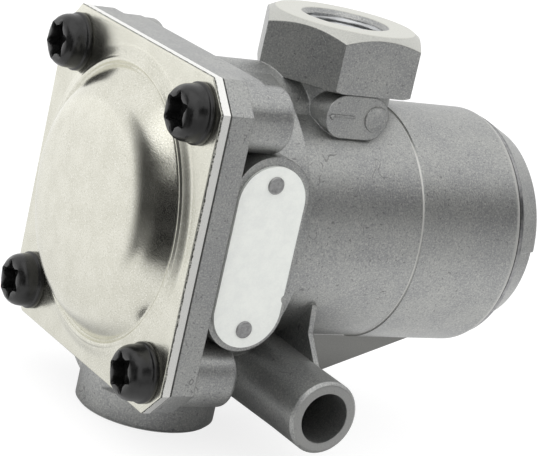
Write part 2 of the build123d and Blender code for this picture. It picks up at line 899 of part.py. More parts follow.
def piston_rod():
    """The hollow rod pressed into the piston. Its open end pushes on the rubber disc and is the vent seat."""
    start = disc_face_x + seal_face_gap
    return turned([
        (start, rod_bore_radius + rod_mouth_chamfer),
        (start + rod_mouth_chamfer, rod_bore_radius),
        (piston_back, rod_bore_radius),
        (piston_back, rod_radius),
        (start + rod_end_chamfer, rod_radius),
        (start, rod_radius - rod_end_chamfer),
    ])


def main_spring():
    """The strong spring that sets the limiting pressure."""
    return coil(main_spring_radius, main_spring_wire, main_spring_turns, piston_back, spring_seat_front)


def spring_seat():
    """The plate between the spring and the adjusting cap, with a spigot that centres the spring."""
    return turned([
        (spring_seat_front - spring_spigot_height, 0),
        (spring_seat_front - spring_spigot_height, spring_spigot_radius - spring_spigot_chamfer),
        (spring_seat_front - spring_spigot_height + spring_spigot_chamfer, spring_spigot_radius),
        (spring_seat_front, spring_spigot_radius),
        (spring_seat_front, spring_seat_radius),
        (spring_seat_back, spring_seat_radius),
        (spring_seat_back, 0),
    ])


def adjusting_cap():
    """The screwed cap: a threaded stem with a seal groove and a conical flange with spanner recesses."""
    stem = cap_bore_radius - cap_stem_clearance
    body = turned([
        (cap_front, 0),
        (cap_front, stem - cap_stem_chamfer),
        (cap_front + cap_stem_chamfer, stem),
        (cap_flange_front, stem),
        (cap_flange_front, cap_foot_radius),
        (cap_end - cap_edge_chamfer, cap_end_radius + cap_edge_chamfer / 2),
        (cap_end, cap_end_radius - cap_edge_chamfer / 2),
        (cap_end, cap_dish_radius),
        (cap_end - cap_dish_depth, cap_dish_radius - cap_dish_depth / 2),
        (cap_end - cap_dish_depth, 0),
    ])
    recess_end = cap_front + cap_stem_recess_depth
    body -= ring_x(cap_front - past, recess_end, cap_stem_core_radius, cap_stem_recess_radius)
    seal_from, seal_to = cap_seal_place()
    body -= ring_x(seal_from, seal_to, stem - o_ring_section, stem + past)
    taper = cap_flange_taper / cap_flange_height * past
    band = turned([
        (cap_flange_front - past, cap_foot_radius - cap_recess_depth + taper),
        (cap_end + past, cap_end_radius - cap_recess_depth - taper),
        (cap_end + past, cap_foot_radius + past),
        (cap_flange_front - past, cap_foot_radius + past),
    ])
    for index in range(cap_recesses):
        body -= band & wedge(cap_recess_start + 360 * index / cap_recesses)
    return body


def wedge(start):
    """A wedge about the main axis that covers one spanner recess, from an angle measured from +Y to +Z."""
    far = 2 * cap_foot_radius
    a, b = math.radians(start), math.radians(start + cap_recess_span)
    points = [(0, 0), (far * math.cos(a), far * math.sin(a)), (far * math.cos(b), far * math.sin(b))]
    face = make_face(Plane.YZ * Polyline(*points, close=True))
    return Pos(cap_flange_front - past, 0, 0) * extrude(face, cap_flange_height + 2 * past, dir=(1, 0, 0))


def cap_seal_place():
    """Where the seal groove of the cap starts and ends."""
    start = body_end - cap_seal_margin - o_ring_section
    return start, start + o_ring_section + 2 * groove_clearance


def cap_seal():
    """The O-ring on the cap's stem that keeps dirt out."""
    start, end = cap_seal_place()
    section = o_ring_section - groove_clearance
    return o_ring((start + end) / 2, cap_bore_radius - cap_stem_clearance - section / 2, section)


NODES = {
    "housing": housing,
    "cover": cover,
    "cover_gasket": cover_gasket,
    "cover_screws": cover_screws,
    "name_plate": name_plate,
    "name_plate_rivets": name_plate_rivets,
    "valve_seat_ring": seat_ring,
    "valve_cage": valve_cage,
    "valve_carrier": valve_carrier,
    "valve_carrier_seal": carrier_seal,
    "valve_disc": valve_disc,
    "valve_spring": valve_spring,
    "guide_insert": guide_insert,
    "guide_insert_seal": guide_insert_seal,
    "rod_seal": rod_seal,
    "feed_nozzle": feed_nozzle,
    "guide_snap_ring": snap_ring,
    "piston": piston,
    "piston_rod": piston_rod,
    "piston_seal": piston_seal,
    "piston_guide_ring": piston_guide_ring,
    "main_spring": main_spring,
    "spring_seat": spring_seat,
    "adjusting_cap": adjusting_cap,
    "cap_seal": cap_seal,
}

os.makedirs("parts", exist_ok=True)
for node, make in NODES.items():
    save(node, make())
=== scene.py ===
"""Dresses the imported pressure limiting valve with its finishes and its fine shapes.

Everything is in metres in the valve's own frame. +X runs along the main axis, from the domed cover to the
adjusting cap, +Z points up through the inlet port, and the origin is the centre of the outlet port's mouth.
"""

import json
import math

import bmesh
import bpy
import numpy as np
from mathutils import Matrix, Vector


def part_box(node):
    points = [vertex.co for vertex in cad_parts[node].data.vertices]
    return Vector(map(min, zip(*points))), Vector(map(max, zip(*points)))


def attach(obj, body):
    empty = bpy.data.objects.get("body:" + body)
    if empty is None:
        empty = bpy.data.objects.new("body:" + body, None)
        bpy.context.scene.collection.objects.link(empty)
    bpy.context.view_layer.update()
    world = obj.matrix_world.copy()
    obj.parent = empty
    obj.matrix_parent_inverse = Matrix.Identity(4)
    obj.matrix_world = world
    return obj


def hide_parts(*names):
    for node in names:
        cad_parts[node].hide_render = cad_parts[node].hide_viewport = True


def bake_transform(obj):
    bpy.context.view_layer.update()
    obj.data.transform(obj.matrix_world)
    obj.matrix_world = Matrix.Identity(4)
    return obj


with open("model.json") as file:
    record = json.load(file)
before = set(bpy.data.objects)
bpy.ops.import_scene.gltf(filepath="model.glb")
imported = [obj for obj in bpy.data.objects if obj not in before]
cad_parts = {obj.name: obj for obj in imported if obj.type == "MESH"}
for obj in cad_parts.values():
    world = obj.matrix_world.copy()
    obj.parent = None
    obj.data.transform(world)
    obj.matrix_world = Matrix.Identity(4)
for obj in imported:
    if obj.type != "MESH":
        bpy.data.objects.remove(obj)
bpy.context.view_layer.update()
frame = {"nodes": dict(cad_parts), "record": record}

MM = 0.001

# Places on the valve, read from the frame
mounts = {mount["name"]: mount for mount in frame["record"]["mounts"]}
inlet_axis_x = mounts["inlet_port"]["pos_m"][0]
inlet_face_z = mounts["inlet_face"]["pos_m"][2]
cover_back_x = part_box("cover")[1].x
dome_top_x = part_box("cover")[0].x
plate_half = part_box("cover")[1].y
axis_height = (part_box("main_spring")[0].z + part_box("main_spring")[1].z) / 2
body_end_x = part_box("housing")[1].x
vent_end_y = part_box("housing")[0].y
name_plate_low, name_plate_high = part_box("name_plate")

# Cover sizes
plate_thickness = 2.5 * MM
corner_cut = 7.0 * MM
dome_foot_radius = 34.0 * MM
flank_slope = 1.28
crown_curve_radius = 235 * MM
shoulder_softness = 1.6 * MM
foot_softness = 0.25 * MM
bead_radius = 35.0 * MM
bead_half_width = 0.75 * MM
bead_height = 0.35 * MM
swell_rise = (33.6 * MM, 34.7 * MM)
swell_fall = (38.9 * MM, 35.1 * MM)
swell_height = 0.95 * MM
dome_wall = 2.2 * MM
plate_edge_round = 0.3 * MM

# Cover screw sizes
screw_pitch = 64.0 * MM
screw_turns = (8, 31, 17, 44)
lobe_depth = 0.18
lobe_sharpness = 0.28

# Rivets, springs and the ring under the cap
rivet_reach = 18 * MM
main_spring_wire, main_spring_turns = 5.4 * MM, 5.25
valve_spring_wire, valve_spring_turns = 1.1 * MM, 3.5
cap_gap = 1.0 * MM
cap_ring_inner, cap_ring_outer = 27.5 * MM, 30.1 * MM
cap_ring_slack = 0.02 * MM

# Places on the casting
body_line_x = body_end_x - 31.9 * MM
web_top_z = 23.95 * MM
web_start_x = 31 * MM
web_half_width = 8.2 * MM
inlet_face_radius = 17.9 * MM
inlet_chamfer_slope = 4.5 / 2.7
inlet_chamfer_low = 90 * MM
pad_y, pad_z = -18.5 * MM, 85.0 * MM
pad_middle = (31.6 * MM, pad_y, pad_z)

# Raised marks on the pad
numeral_flag = np.array([(24.55, -1.15), (24.1, -0.6), (23.6, 0.0)]) * MM
numeral_stem = (23.9 * MM, 31.1 * MM, 0.05 * MM)
numeral_width, numeral_height = 0.85 * MM, 0.5 * MM
disc_x = 37.15 * MM


def surface(name, points, wrap_u=False, wrap_v=False, sharp_angle=40):
    """A mesh over a grid of points [u, v, xyz]. Each cell of the grid is one face, and a wrapped side joins its
    last row to its first. Rows that shrink to one point are merged into a pole."""
    count_u, count_v = points.shape[:2]
    index = np.arange(count_u * count_v).reshape(count_u, count_v)
    if wrap_u:
        index = np.concatenate([index, index[:1]], axis=0)
    if wrap_v:
        index = np.concatenate([index, index[:, :1]], axis=1)
    corners = (index[:-1, :-1], index[1:, :-1], index[1:, 1:], index[:-1, 1:])
    faces = np.stack(corners, axis=-1).reshape(-1, 4)
    mesh = bpy.data.meshes.new(name)
    mesh.from_pydata(points.reshape(-1, 3).tolist(), [], faces.tolist())
    build = bmesh.new()
    build.from_mesh(mesh)
    bmesh.ops.remove_doubles(build, verts=build.verts, dist=1e-7)
    bmesh.ops.recalc_face_normals(build, faces=build.faces)
    build.to_mesh(mesh)
    build.free()
    mesh.shade_smooth()
    mesh.set_sharp_from_angle(angle=math.radians(sharp_angle))
    piece = bpy.data.objects.new(name, mesh)
    bpy.context.scene.collection.objects.link(piece)
    return piece


def fit_out(piece, finish, body, nodes=()):
    """Gives a piece its finish, its body and the CAD nodes that it stands for."""
    piece.data.materials.append(finish)
    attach(piece, body)
    if nodes:
        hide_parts(*nodes)
    return piece


def around_x(radius, x, angle, y=0.0, z=0.0):
    """Points on circles round an axis along X: y is radius times cosine, z is radius times sine."""
    radius, x, angle = np.broadcast_arrays(radius, x, angle)
    return np.stack([x, y + radius * np.cos(angle), z + radius * np.sin(angle)], axis=-1)


def cover_height(radius):
    """How far the cover stands out at a radius. The dome is the softened lesser of a straight flank and a
    slightly curved crown, softened again where it meets the plate. Round its foot run a rounded bead and a low
    swell of the plate, which rises and falls by smooth steps."""
    flank = (dome_foot_radius - radius) * flank_slope
    crown = cover_back_x - plate_thickness - dome_top_x - radius**2 / (2 * crown_curve_radius)
    lesser = -shoulder_softness * np.logaddexp(-flank / shoulder_softness, -crown / shoulder_softness)
    dome = foot_softness * np.logaddexp(0, lesser / foot_softness)
    bead = bead_height * np.clip(1 - ((radius - bead_radius) / bead_half_width) ** 2, 0, 1)
    swell = swell_height
    for start, end in (swell_rise, swell_fall):
        share = np.clip((radius - start) / (end - start), 0, 1)
        swell = swell * share**2 * (3 - 2 * share)
    return dome + bead + swell


def plate_reach(angle):
    """The distance from the axis to the edge of a square plate with its corners cut off, at an angle."""
    across, up = np.abs(np.cos(angle)), np.abs(np.sin(angle))
    cut_line = (2 * plate_half - corner_cut) / (across + up)
    return np.minimum(np.minimum(plate_half / across.clip(1e-9), plate_half / up.clip(1e-9)), cut_line)


def cover_angles():
    """Angles round the cover, evenly spaced along each of the plate's eight sides and exact at its corners."""
    corner = math.atan2(plate_half - corner_cut, plate_half)
    stops = [corner, math.pi / 2 - corner]
    stops = np.array([quarter * math.pi / 2 + stop for quarter in range(4) for stop in stops])
    ends = np.append(stops[1:], stops[0] + 2 * math.pi)
    counts = np.where(ends - stops > math.pi / 8, 72, 12)
    return np.concatenate([np.linspace(a, b, n, endpoint=False) for a, b, n in zip(stops, ends, counts)])


def cover_surface():
    """The pressed cover as rings round the main axis: crown, flank, bead, plate face, rounded edge, sheared
    side, back face, and the hollow inside the dome. Beyond the bead the rings change from round to square."""
    angle = cover_angles()[:, None]
    reach = plate_reach(angle)
    front_x = cover_back_x - plate_thickness
    bead_end = bead_radius + bead_half_width
    round_radii = np.concatenate([
        np.linspace(0, 22 * MM, 12, endpoint=False),
        np.linspace(22 * MM, bead_end, 52),
    ])[None, :]
    dome = around_x(round_radii, front_x - cover_height(round_radii), angle)
    share = (np.linspace(0.03, 1, 22) ** 1.3)[None, :]
    flat_radii = bead_end + share * (reach - plate_edge_round - bead_end)
    flat = around_x(flat_radii, front_x - cover_height(flat_radii), angle)
    turn = np.linspace(0, math.pi / 2, 5)[1:][None, :]
    edge_radii = reach - plate_edge_round * (1 - np.sin(turn))
    edge = around_x(edge_radii, front_x + plate_edge_round * (1 - np.cos(turn)), angle)
    side = around_x(reach, np.linspace(front_x + 2 * plate_edge_round, cover_back_x, 5)[None, :], angle)
    hollow_edge = dome_foot_radius - dome_wall
    hollow_radii = np.linspace(hollow_edge, 0, 40)[None, :]
    depth = np.maximum(cover_height(hollow_radii + dome_wall * 0.6) - dome_wall, 0)
    rim = around_x(hollow_edge + 0.001 * MM, cover_back_x, angle)
    hollow = around_x(hollow_radii, front_x - depth, angle)
    points = np.concatenate([dome, flat, edge, side, rim, hollow], axis=1)
    points[..., 2] += axis_height
    return points


def cover_screw_surface(y, z, turn):
    """One cover screw turned round its own axis. The outline runs from the shank's tip over the collar and the
    rounded head into the recess, whose radius swells and shrinks six times round with a cosine, sharpened by
    one of twice its speed so that the ridges between the lobes are wide and round."""
    outline = np.array([
        (0, 14.5, 0), (3.3, 14.5, 0), (3.95, 13.8, 0), (3.95, 0, 0), (7.25, 0, 0), (7.4, -0.2, 0),
        (7.4, -1.15, 0), (7.25, -1.4, 0), (6.98, -1.5, 0), (6.88, -1.7, 0), (6.84, -3.0, 0), (6.7, -4.1, 0),
        (6.45, -4.9, 0), (6.05, -5.6, 0), (5.6, -6.1, 0), (5.25, -6.35, 0.15), (4.9, -6.45, 0.4),
        (4.5, -6.5, 0.75), (4.2, -6.42, 1), (4.05, -6.15, 1), (4.0, -5.0, 1), (3.95, -3.1, 1), (3.2, -2.9, 0.8),
        (1.6, -2.6, 0), (0, -2.5, 0),
    ])
    radius, along, lobes = (outline[None, :, column] for column in range(3))
    angle = np.linspace(0, 2 * math.pi, 144, endpoint=False)[:, None]
    lobe = 6 * (angle - math.radians(turn))
    wave = lobe_depth * (np.cos(lobe) + lobe_sharpness * np.cos(2 * lobe))
    radius = radius * MM * (1 + lobes * wave)
    x = cover_back_x - plate_thickness + along * MM
    return around_x(radius, x, angle, y, axis_height + z)


def thread_surface(core_radius, depth, pitch, length, mouth, across, along):
    """A screw thread lining a hole. Its radius falls from the hole's wall by a triangle wave of the distance
    along the hole less the share of a turn, and a plain wall just behind it closes the lining."""
    angle = np.linspace(0, 2 * math.pi, 96, endpoint=False)[:, None]
    travel = np.linspace(0, length, int(length / pitch) * 8)[None, :]
    phase = np.mod(travel / pitch - angle / (2 * math.pi), 1)
    fade = np.clip(np.minimum(travel, length - travel) / pitch, 0, 1)
    crest = np.clip(1.25 * (1 - np.abs(2 * phase - 1)), 0, 1) * fade
    inner = core_radius - depth * crest
    outer = np.full_like(inner, core_radius + 0.05 * MM)
    radius = np.concatenate([inner, outer[:, ::-1]], axis=1)
    travel = np.concatenate([travel, travel[:, ::-1]], axis=1) + 0 * radius
    angle = angle + 0 * radius
    side, other = (np.array(direction, float) for direction in across)
    ring = radius[..., None] * (np.cos(angle)[..., None] * side + np.sin(angle)[..., None] * other)
    return np.array(mouth, float) + ring + travel[..., None] * np.array(along, float)


def ridge_surface(path, width, height, outwards, closed=False):
    """A low raised line: a rounded profile, cosine-shaped in height, carried along a path of points that lie on
    a face with the direction outwards. Its open ends shrink to points."""
    path = np.array(path, float)
    ahead = np.roll(path, -1, 0) if closed else np.vstack([path[1:], path[-1:]])
    behind = np.roll(path, 1, 0) if closed else np.vstack([path[:1], path[:-1]])
    forward = ahead - behind
    forward /= np.linalg.norm(forward, axis=1, keepdims=True)
    outwards = np.broadcast_to(np.array(outwards, float), path.shape)
    sideways = np.cross(forward, outwards)
    share = np.linspace(-1, 1, 9)
    rise = height * np.cos(share * math.pi / 2) ** 0.5
    taper = np.ones(len(path))
    if not closed:
        taper[0] = taper[-1] = 0
    across = (share[None, :, None] * width / 2) * taper[:, None, None] * sideways[:, None, :]
    up = (rise[None, :, None] * taper[:, None, None]) * outwards[:, None, :]
    top = path[:, None, :] + across + up
    sunk = path[:, None, :] + across[:, ::-1] - 0.05 * MM * outwards[:, None, :]
    return np.concatenate([top, sunk], axis=1)


def rivet_surface(x, z):
    """A drive rivet's round head with a shallow dished middle, on a short shank."""
    outline = np.array([(0, 1.2), (1.35, 1.2), (1.35, 0), (2.15, 0), (2.15, -0.2), (2.0, -0.42), (1.75, -0.52),
                        (1.45, -0.5), (1.15, -0.4), (0.6, -0.38), (0, -0.42)])
    radius, along = (outline[None, :, column] * MM for column in range(2))
    angle = np.linspace(0, 2 * math.pi, 48, endpoint=False)[:, None]
    radius, along, angle = np.broadcast_arrays(radius, along, angle)
    front = name_plate_low.y
    return np.stack([x + radius * np.cos(angle), front + along, z + radius * np.sin(angle)], axis=-1)


def spring_surface(low, high, wire, turns, first, last):
    """A stretch of a round-wire spring that fills a box from its low to its high corner. The wire's middle
    turns round the main axis while it moves along X, and the wire is a circle square to that path, closed at
    both ends. First and last are the shares of the length where the stretch starts and stops."""
    radius = (high.y - low.y - wire) / 2
    length = high.x - low.x - wire
    share = np.linspace(first, last, int(turns * (last - first) * 40))
    share = np.concatenate([share[:1], share, share[-1:]])[:, None]
    thick = np.full_like(share, wire / 2)
    thick[[0, -1]] = 0
    angle = 2 * math.pi * turns * share
    middle = around_x(radius, low.x + wire / 2 + length * share, angle - math.pi / 2, 0.0, axis_height)
    outwards = around_x(1.0, 0.0, angle - math.pi / 2)
    forward = around_x(2 * math.pi * turns * radius, length, angle)
    forward /= np.linalg.norm(forward, axis=-1, keepdims=True)
    sideways = np.cross(forward, outwards)
    around = np.linspace(0, 2 * math.pi, 20, endpoint=False)[None, :, None]
    return middle + thick[..., None] * (np.cos(around) * outwards + np.sin(around) * sideways)


def node(tree, kind, inputs=(), **settings):
    """Adds a shader node, sets its settings, and fills its inputs with values or joins them to sockets."""
    made = tree.nodes.new(kind)
    for key, value in settings.items():
        setattr(made, key, value)
    for key, value in dict(inputs).items():
        if isinstance(value, bpy.types.NodeSocket):
            tree.links.new(value, made.inputs[key])
        else:
            made.inputs[key].default_value = value
    return made


def maths(tree, operation, first, second=0.0, third=0.0):
    """One sum on two or three numbers or sockets."""
    inputs = {0: first, 1: second, 2: third}
    return node(tree, "ShaderNodeMath", inputs, operation=operation).outputs[0]


def distance(tree, across, along):
    """The square root of the sum of two squares."""
    squares = [maths(tree, "POWER", value, 2.0) for value in (across, along)]
    return maths(tree, "SQRT", maths(tree, "ADD", *squares))


def product(tree, *factors):
    """Several numbers or sockets multiplied together."""
    made = factors[0]
    for factor in factors[1:]:
        made = maths(tree, "MULTIPLY", made, factor)
    return made


def step_up(tree, value, start, end):
    """A smooth step from 0 at start to 1 at end."""
    inputs = {"Value": value, "From Min": start, "From Max": end}
    return node(tree, "ShaderNodeMapRange", inputs, interpolation_type="SMOOTHSTEP").outputs[0]


def noise(tree, place, size, detail=3.0, roughness=0.6):
    """Cloudy noise whose lumps are about as wide as size, in metres."""
    inputs = {"Vector": place, "Scale": 1 / size, "Detail": detail, "Roughness": roughness}
    return node(tree, "ShaderNodeTexNoise", inputs).outputs["Fac"]


def blend_colours(tree, share, first, second):
    """Mixes two colours by a share."""
    made = node(tree, "ShaderNodeMix", {"Factor": share}, data_type="RGBA")
    for socket, value in ((made.inputs[6], first), (made.inputs[7], second)):
        if isinstance(value, bpy.types.NodeSocket):
            tree.links.new(value, socket)
        else:
            socket.default_value = (*value, 1)
    return made.outputs[2]


def new_finish(name, metallic, **sockets):
    """A material with its shader, and the Object coordinates that its patterns read."""
    material = bpy.data.materials.new(name)
    material.use_nodes = True
    tree = material.node_tree
    shader = next(n for n in tree.nodes if n.type == "BSDF_PRINCIPLED")
    shader.inputs["Metallic"].default_value = metallic
    for key, value in sockets.items():
        shader.inputs[key.replace("_", " ")].default_value = value
    place = node(tree, "ShaderNodeTexCoord").outputs["Object"]
    return material, tree, shader, place


def finish_off(tree, shader, colour, roughness, height, depth, normal=None):
    """Joins colour, roughness and a bump of that depth in metres to the shader."""
    tree.links.new(colour, shader.inputs["Base Color"])
    tree.links.new(roughness, shader.inputs["Roughness"])
    inputs = {"Height": height, "Strength": 1.0, "Distance": depth}
    if normal is not None:
        inputs["Normal"] = normal
    bump = node(tree, "ShaderNodeBump", inputs)
    tree.links.new(bump.outputs["Normal"], shader.inputs["Normal"])


def flow_lines(tree, place, x):
    """1 on rare thin lines where a broad noise crosses its middle, off the pad and in front of the body's
    line."""
    contour = maths(tree, "ABSOLUTE", maths(tree, "SUBTRACT", noise(tree, place, 13 * MM, 2.0, 0.5), 0.5))
    gate = step_up(tree, noise(tree, place, 7 * MM, 2.0, 0.6), 0.54, 0.6)
    off_pad = node(tree, "ShaderNodeVectorMath", {0: place, 1: pad_middle}, operation="DISTANCE")
    clear_of_pad = step_up(tree, off_pad.outputs["Value"], 10 * MM, 11 * MM)
    in_front = step_up(tree, x, body_line_x, body_line_x - 6 * MM)
    return product(tree, step_up(tree, contour, 0.0045, 0.001), gate, clear_of_pad, in_front)


def cast_aluminium():
    """Grey die-cast skin: cloudy tone, fine sparkling grain, flow lines, machined faces on the inlet's top, its
    chamfer and the vent's end, painted shade on the web, darker towards its foot, and painted highlights on
    the rim at the body's end and on the line round its middle."""
    material, tree, shader, place = new_finish("cast aluminium", 0.9)
    x, y, z = node(tree, "ShaderNodeSeparateXYZ", {0: place}).outputs
    cloud = noise(tree, place, 9 * MM, 2.0, 0.5)
    grain = noise(tree, place, 0.42 * MM, 2.0, 0.7)
    fleck = noise(tree, place, 0.8 * MM, 1.0, 0.5)
    tone = blend_colours(tree, step_up(tree, cloud, 0.35, 0.65), (0.365, 0.37, 0.37), (0.42, 0.425, 0.415))
    tone = blend_colours(tree, step_up(tree, grain, 0.5, 0.66), tone, (0.53, 0.53, 0.51))
    tone = blend_colours(tree, step_up(tree, grain, 0.47, 0.34), tone, (0.31, 0.315, 0.315))
    tone = blend_colours(tree, step_up(tree, fleck, 0.34, 0.24), tone, (0.26, 0.26, 0.26))

    # Machined faces, each a share from 0 to 1
    radius = distance(tree, maths(tree, "SUBTRACT", x, inlet_axis_x), y)
    top = step_up(tree, z, inlet_face_z - 0.25 * MM, inlet_face_z - 0.05 * MM)
    drop = maths(tree, "SUBTRACT", inlet_face_z, z)
    cone = maths(tree, "MULTIPLY_ADD", drop, inlet_chamfer_slope, inlet_face_radius)
    off_cone = maths(tree, "ABSOLUTE", maths(tree, "SUBTRACT", radius, cone))
    high = step_up(tree, z, inlet_chamfer_low, inlet_chamfer_low + 5 * MM)
    chamfer = maths(tree, "MULTIPLY", step_up(tree, off_cone, 0.25 * MM, 0.1 * MM), high)
    vent = step_up(tree, y, vent_end_y + 0.1 * MM, vent_end_y + 0.04 * MM)
    bright = maths(tree, "MAXIMUM", top, maths(tree, "MULTIPLY", chamfer, 0.55))
    cut = maths(tree, "MAXIMUM", bright, maths(tree, "MULTIPLY", vent, 0.1))

    # Painted shade on the web, and painted highlights on the body's rim and on the line round the body
    below_body = step_up(tree, z, web_top_z + 0.05 * MM, web_top_z - 0.25 * MM)
    between_sides = step_up(tree, maths(tree, "ABSOLUTE", y), web_half_width + 0.3 * MM, web_half_width)
    web = product(tree, below_body, between_sides, step_up(tree, x, web_start_x, web_start_x + 2 * MM))
    # painted shade: the web is coloured darker, and darker still towards its foot, for the shade under the body
    web_painted_shade = blend_colours(tree, step_up(tree, z, 22 * MM, 10 * MM), (0.19, 0.19, 0.18), (0.11, 0.11, 0.105))
    # painted highlight: a pale band on the rounded edge at the body's end
    rim = maths(tree, "MULTIPLY", step_up(tree, x, body_end_x - 2.5 * MM, body_end_x - 1.5 * MM), step_up(
        tree, x, body_end_x + 0.5 * MM, body_end_x + 0.2 * MM))
    off_line = maths(tree, "ABSOLUTE", maths(tree, "SUBTRACT", x, body_line_x))
    off_web = maths(tree, "SUBTRACT", 0.9, web)
    # painted highlight: a pale line on the low step round the body's middle, kept off the web
    line = maths(tree, "MULTIPLY", step_up(tree, off_line, 0.3 * MM, 0.12 * MM), off_web)

    crack = flow_lines(tree, place, x)
    rings = node(tree, "ShaderNodeTexNoise", {"W": radius, "Scale": 9000, "Detail": 1.0}, noise_dimensions="1D")
    rings = rings.outputs["Fac"]
    turned = blend_colours(tree, rings, (0.62, 0.62, 0.56), (0.74, 0.74, 0.68))
    tone = blend_colours(tree, maths(tree, "MULTIPLY", vent, 0.7), tone, (0.25, 0.25, 0.25))
    tone = blend_colours(tree, maths(tree, "MULTIPLY", crack, 0.6), tone, (0.16, 0.16, 0.16))
    # painted shade on the web
    tone = blend_colours(tree, maths(tree, "MULTIPLY", web, 0.85), tone, web_painted_shade)
    # painted highlight on the body's rim
    tone = blend_colours(tree, maths(tree, "MULTIPLY", rim, 0.6), tone, (0.62, 0.62, 0.59))
    # painted highlight on the line round the body
    tone = blend_colours(tree, line, tone, (0.75, 0.75, 0.72))
    tone = blend_colours(tree, cut, tone, turned)
    roughness = maths(tree, "MULTIPLY_ADD", grain, 0.2, 0.31)
    roughness = maths(tree, "MULTIPLY_ADD", cut, -0.1, roughness)

    # Edges are rounded in the shading, but not at the low step beside the line
    soft = node(tree, "ShaderNodeBevel", {"Radius": 0.5 * MM}, samples=8).outputs[0]
    normal = node(tree, "ShaderNodeNewGeometry").outputs["Normal"]
    plain = step_up(tree, off_line, 1.2 * MM, 0.9 * MM)
    soft = node(tree, "ShaderNodeMix", {0: plain, 4: soft, 5: normal}, data_type="VECTOR").outputs[1]
    height = maths(tree, "ADD", maths(tree, "MULTIPLY", grain, 0.7), maths(tree, "MULTIPLY", fleck, 0.5))
    height = maths(tree, "SUBTRACT", height, crack)
    height = maths(tree, "MULTIPLY", height, maths(tree, "SUBTRACT", 1.05, cut))
    height = maths(tree, "MULTIPLY_ADD", maths(tree, "MULTIPLY", rings, cut), 0.12, height)
    finish_off(tree, shader, tone, roughness, height, 0.05 * MM, soft)
    return material


def zinc_plated_steel():
    """Bright pressed steel: warm silver with soft mottling and fine grain. The cover's sheared edge is broken
    and dark near the front and smooth behind, by a limit that wanders with noise."""
    material, tree, shader, place = new_finish("zinc plated steel", 1.0)
    cloud = noise(tree, place, 6 * MM, 3.0, 0.55)
    grain = noise(tree, place, 0.35 * MM, 2.0, 0.6)
    tone = blend_colours(tree, step_up(tree, cloud, 0.3, 0.7), (0.70, 0.69, 0.60), (0.77, 0.76, 0.67))
    tone = blend_colours(tree, step_up(tree, grain, 0.53, 0.72), tone, (0.88, 0.87, 0.80))
    tone = blend_colours(tree, step_up(tree, grain, 0.45, 0.28), tone, (0.60, 0.59, 0.51))
    roughness = maths(tree, "MULTIPLY_ADD", cloud, 0.1, 0.17)
    height = maths(tree, "MULTIPLY_ADD", grain, 1.0, maths(tree, "MULTIPLY", cloud, 0.5))

    # The sheared edge
    x, y, z = node(tree, "ShaderNodeSeparateXYZ", {0: place}).outputs
    y, z = maths(tree, "ABSOLUTE", y), maths(tree, "ABSOLUTE", maths(tree, "SUBTRACT", z, axis_height))
    reach = maths(tree, "MAXIMUM", maths(tree, "MAXIMUM", y, z), maths(
        tree, "ADD", maths(tree, "ADD", y, z), corner_cut - plate_half))
    side = step_up(tree, reach, plate_half - 0.12 * MM, plate_half - 0.02 * MM)
    wander = noise(tree, place, 1.6 * MM, 3.0, 0.7)
    front_x = cover_back_x - plate_thickness
    limit = maths(tree, "MULTIPLY_ADD", wander, 0.9 * MM, front_x + 0.1 * MM)
    torn = maths(tree, "MULTIPLY", maths(tree, "LESS_THAN", x, limit), side)
    speck = step_up(tree, noise(tree, place, 0.55 * MM, 2.0, 0.8), 0.55, 0.47)
    lip = step_up(tree, x, front_x + 0.45 * MM, front_x + 0.3 * MM)
    speck = maths(tree, "MAXIMUM", speck, maths(tree, "MULTIPLY", lip, step_up(tree, wander, 0.62, 0.42)))
    tone = blend_colours(tree, side, tone, (0.94, 0.94, 0.91))
    dark = blend_colours(tree, speck, (0.60, 0.60, 0.55), (0.10, 0.10, 0.09))
    tone = blend_colours(tree, torn, tone, dark)
    roughness = maths(tree, "MULTIPLY_ADD", torn, 0.35, roughness)
    height = maths(tree, "MULTIPLY_ADD", maths(tree, "MULTIPLY", torn, speck), -4.0, height)
    finish_off(tree, shader, tone, roughness, height, 0.02 * MM)
    return material


def plain_finish(name, metallic, dark, light, lump, roughness, spread, depth, **sockets):
    """A finish of two tones mixed by noise of one lump size, whose roughness and bump follow the same noise."""
    material, tree, shader, place = new_finish(name, metallic, **sockets)
    cloud = noise(tree, place, lump, 4.0, 0.65)
    fine = noise(tree, place, lump / 7, 2.0, 0.6)
    share = maths(tree, "MULTIPLY_ADD", cloud, 0.7, maths(tree, "MULTIPLY", fine, 0.3))
    tone = blend_colours(tree, step_up(tree, share, 0.35, 0.65), dark, light)
    rough = maths(tree, "MULTIPLY_ADD", share, spread, roughness - spread / 2)
    finish_off(tree, shader, tone, rough, share, depth)
    return material


def turned_finish(name, dark, light, roughness):
    """Lathe-turned metal: fine rings round the main axis from noise of the distance along and across it."""
    material, tree, shader, place = new_finish(name, 1.0)
    x, y, z = node(tree, "ShaderNodeSeparateXYZ", {0: place}).outputs
    z = maths(tree, "SUBTRACT", z, axis_height)
    way = maths(tree, "ADD", distance(tree, y, z), x)
    rings = node(tree, "ShaderNodeTexNoise", {"W": way, "Scale": 7000, "Detail": 2.0}, noise_dimensions="1D")
    rings = rings.outputs["Fac"]
    stain = noise(tree, place, 5 * MM, 3.0, 0.6)
    share = maths(tree, "MULTIPLY_ADD", rings, 0.5, maths(tree, "MULTIPLY", stain, 0.5))
    tone = blend_colours(tree, step_up(tree, share, 0.35, 0.65), dark, light)
    rough = maths(tree, "MULTIPLY_ADD", rings, 0.12, roughness)
    finish_off(tree, shader, tone, rough, rings, 0.01 * MM)
    return material


